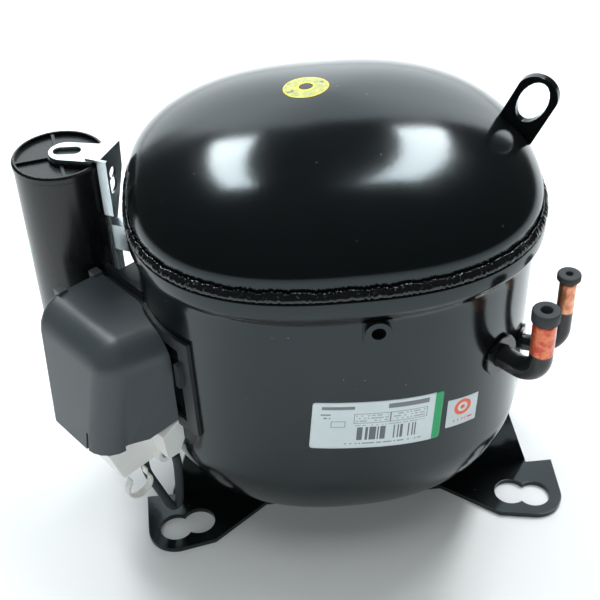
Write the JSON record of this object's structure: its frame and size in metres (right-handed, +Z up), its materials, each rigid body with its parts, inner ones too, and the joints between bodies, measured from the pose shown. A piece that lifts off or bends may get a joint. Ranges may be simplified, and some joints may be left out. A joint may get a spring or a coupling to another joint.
{
  "type": "hermetic reciprocating compressor",
  "caption": "Sealed steel-shelled piston compressor on two bolt-down base brackets, with bent connecting tubes, a side terminal box and a start capacitor.",
  "frame": {"origin": "centre of the footprint box, on the surface the feet stand on", "axes": "+X along the base brackets, away from the terminal box and capacitor; +Y towards the back; +Z up along the crankshaft"},
  "size_m": [0.283, 0.1912, 0.24],
  "materials": {
    "shell_paint": "black gloss paint",
    "black_plastic": "black moulded",
    "grey_plastic": "dark slate-grey moulded",
    "white_nylon": "off-white moulded nylon",
    "rubber": "dark grey",
    "zinc": "blue-silver zinc plated",
    "steel": "machined steel",
    "iron": "grey cast",
    "lamination": "stacked laminations",
    "winding": "varnished copper winding",
    "copper": "bare copper",
    "aluminium": "die cast"
  },
  "bodies": {
    "shell": {"lower_shell": "shell_paint", "upper_shell": "shell_paint", "weld_bead": "shell_paint", "front_base_bracket": "shell_paint", "rear_base_bracket": "shell_paint", "lifting_eye": "shell_paint", "threaded_boss": "shell_paint", "suction_tube": "shell_paint", "suction_collar": "shell_paint", "discharge_tube": "shell_paint", "discharge_collar": "shell_paint", "bracket_lug": "shell_paint", "lead_loop": "rubber", "terminal_frame": "black_plastic", "overload_protector": "black_plastic", "capacitor_can": "black_plastic", "capacitor_end_cap": "black_plastic", "terminal_block": "white_nylon", "cable_strap": "white_nylon", "start_relay": "white_nylon", "capacitor_bracket": "zinc", "terminal_feedthrough": "steel", "spring_1": "steel", "spring_2": "steel", "spring_3": "steel", "spring_4": "steel", "spring_cradle": "steel", "terminal_pin_1": "copper", "terminal_pin_2": "copper", "terminal_pin_3": "copper", "discharge_loop": "copper"},
    "cover": {"terminal_cover": "grey_plastic"},
    "suction_cap": {"suction_plug": "rubber"},
    "discharge_cap": {"discharge_plug": "rubber"},
    "pump_frame": {"stator_core": "lamination", "lower_end_turns": "winding", "upper_end_turns": "winding", "crankcase": "iron", "valve_plate": "steel", "head_gasket": "black_plastic", "cylinder_head": "aluminium", "suction_muffler": "black_plastic", "stator_bolt_1": "steel", "stator_bolt_2": "steel", "stator_bolt_3": "steel", "stator_bolt_4": "steel"},
    "crank": {"crankshaft": "iron", "rotor": "lamination", "balance_weight": "iron", "oil_pickup": "steel"},
    "piston": {"piston": "steel", "wrist_pin": "steel"},
    "rod": {"connecting_rod": "iron", "crankpin": "steel"}
  },
  "joints": [
    {"name": "pump_float", "type": "slide", "parent": "shell", "child": "pump_frame", "axis": [0, 0, 1], "range_m": [-0.0015, 0.0015], "stiffness_N_per_m": 32000, "springref_m": 0.00282, "deforming": ["spring_1", "spring_2", "spring_3", "spring_4", "discharge_loop"]},
    {"name": "crank_spin", "type": "hinge", "parent": "pump_frame", "child": "crank", "pos_m": [0.0025, 0, 0.1], "axis": [0, 0, 1], "continuous": true},
    {"name": "piston_stroke", "type": "slide", "parent": "pump_frame", "child": "piston", "axis": [1, 0, 0], "range_m": [-0.025, 0]},
    {"name": "rod_swing", "type": "hinge", "parent": "piston", "child": "rod", "pos_m": [0.065, 0, 0.172], "axis": [0, 0, 1], "range_deg": [-14.4, 14.4]},
    {"name": "cover_lift", "type": "slide", "parent": "shell", "child": "cover", "axis": [-0.7997, -0.6004, 0], "range_m": [0, 0.06]},
    {"name": "suction_plug_pull", "type": "slide", "parent": "shell", "child": "suction_cap", "axis": [0, 0, 1], "range_m": [0, 0.03]},
    {"name": "discharge_plug_pull", "type": "slide", "parent": "shell", "child": "discharge_cap", "axis": [0, 0, 1], "range_m": [0, 0.03]}
  ]
}
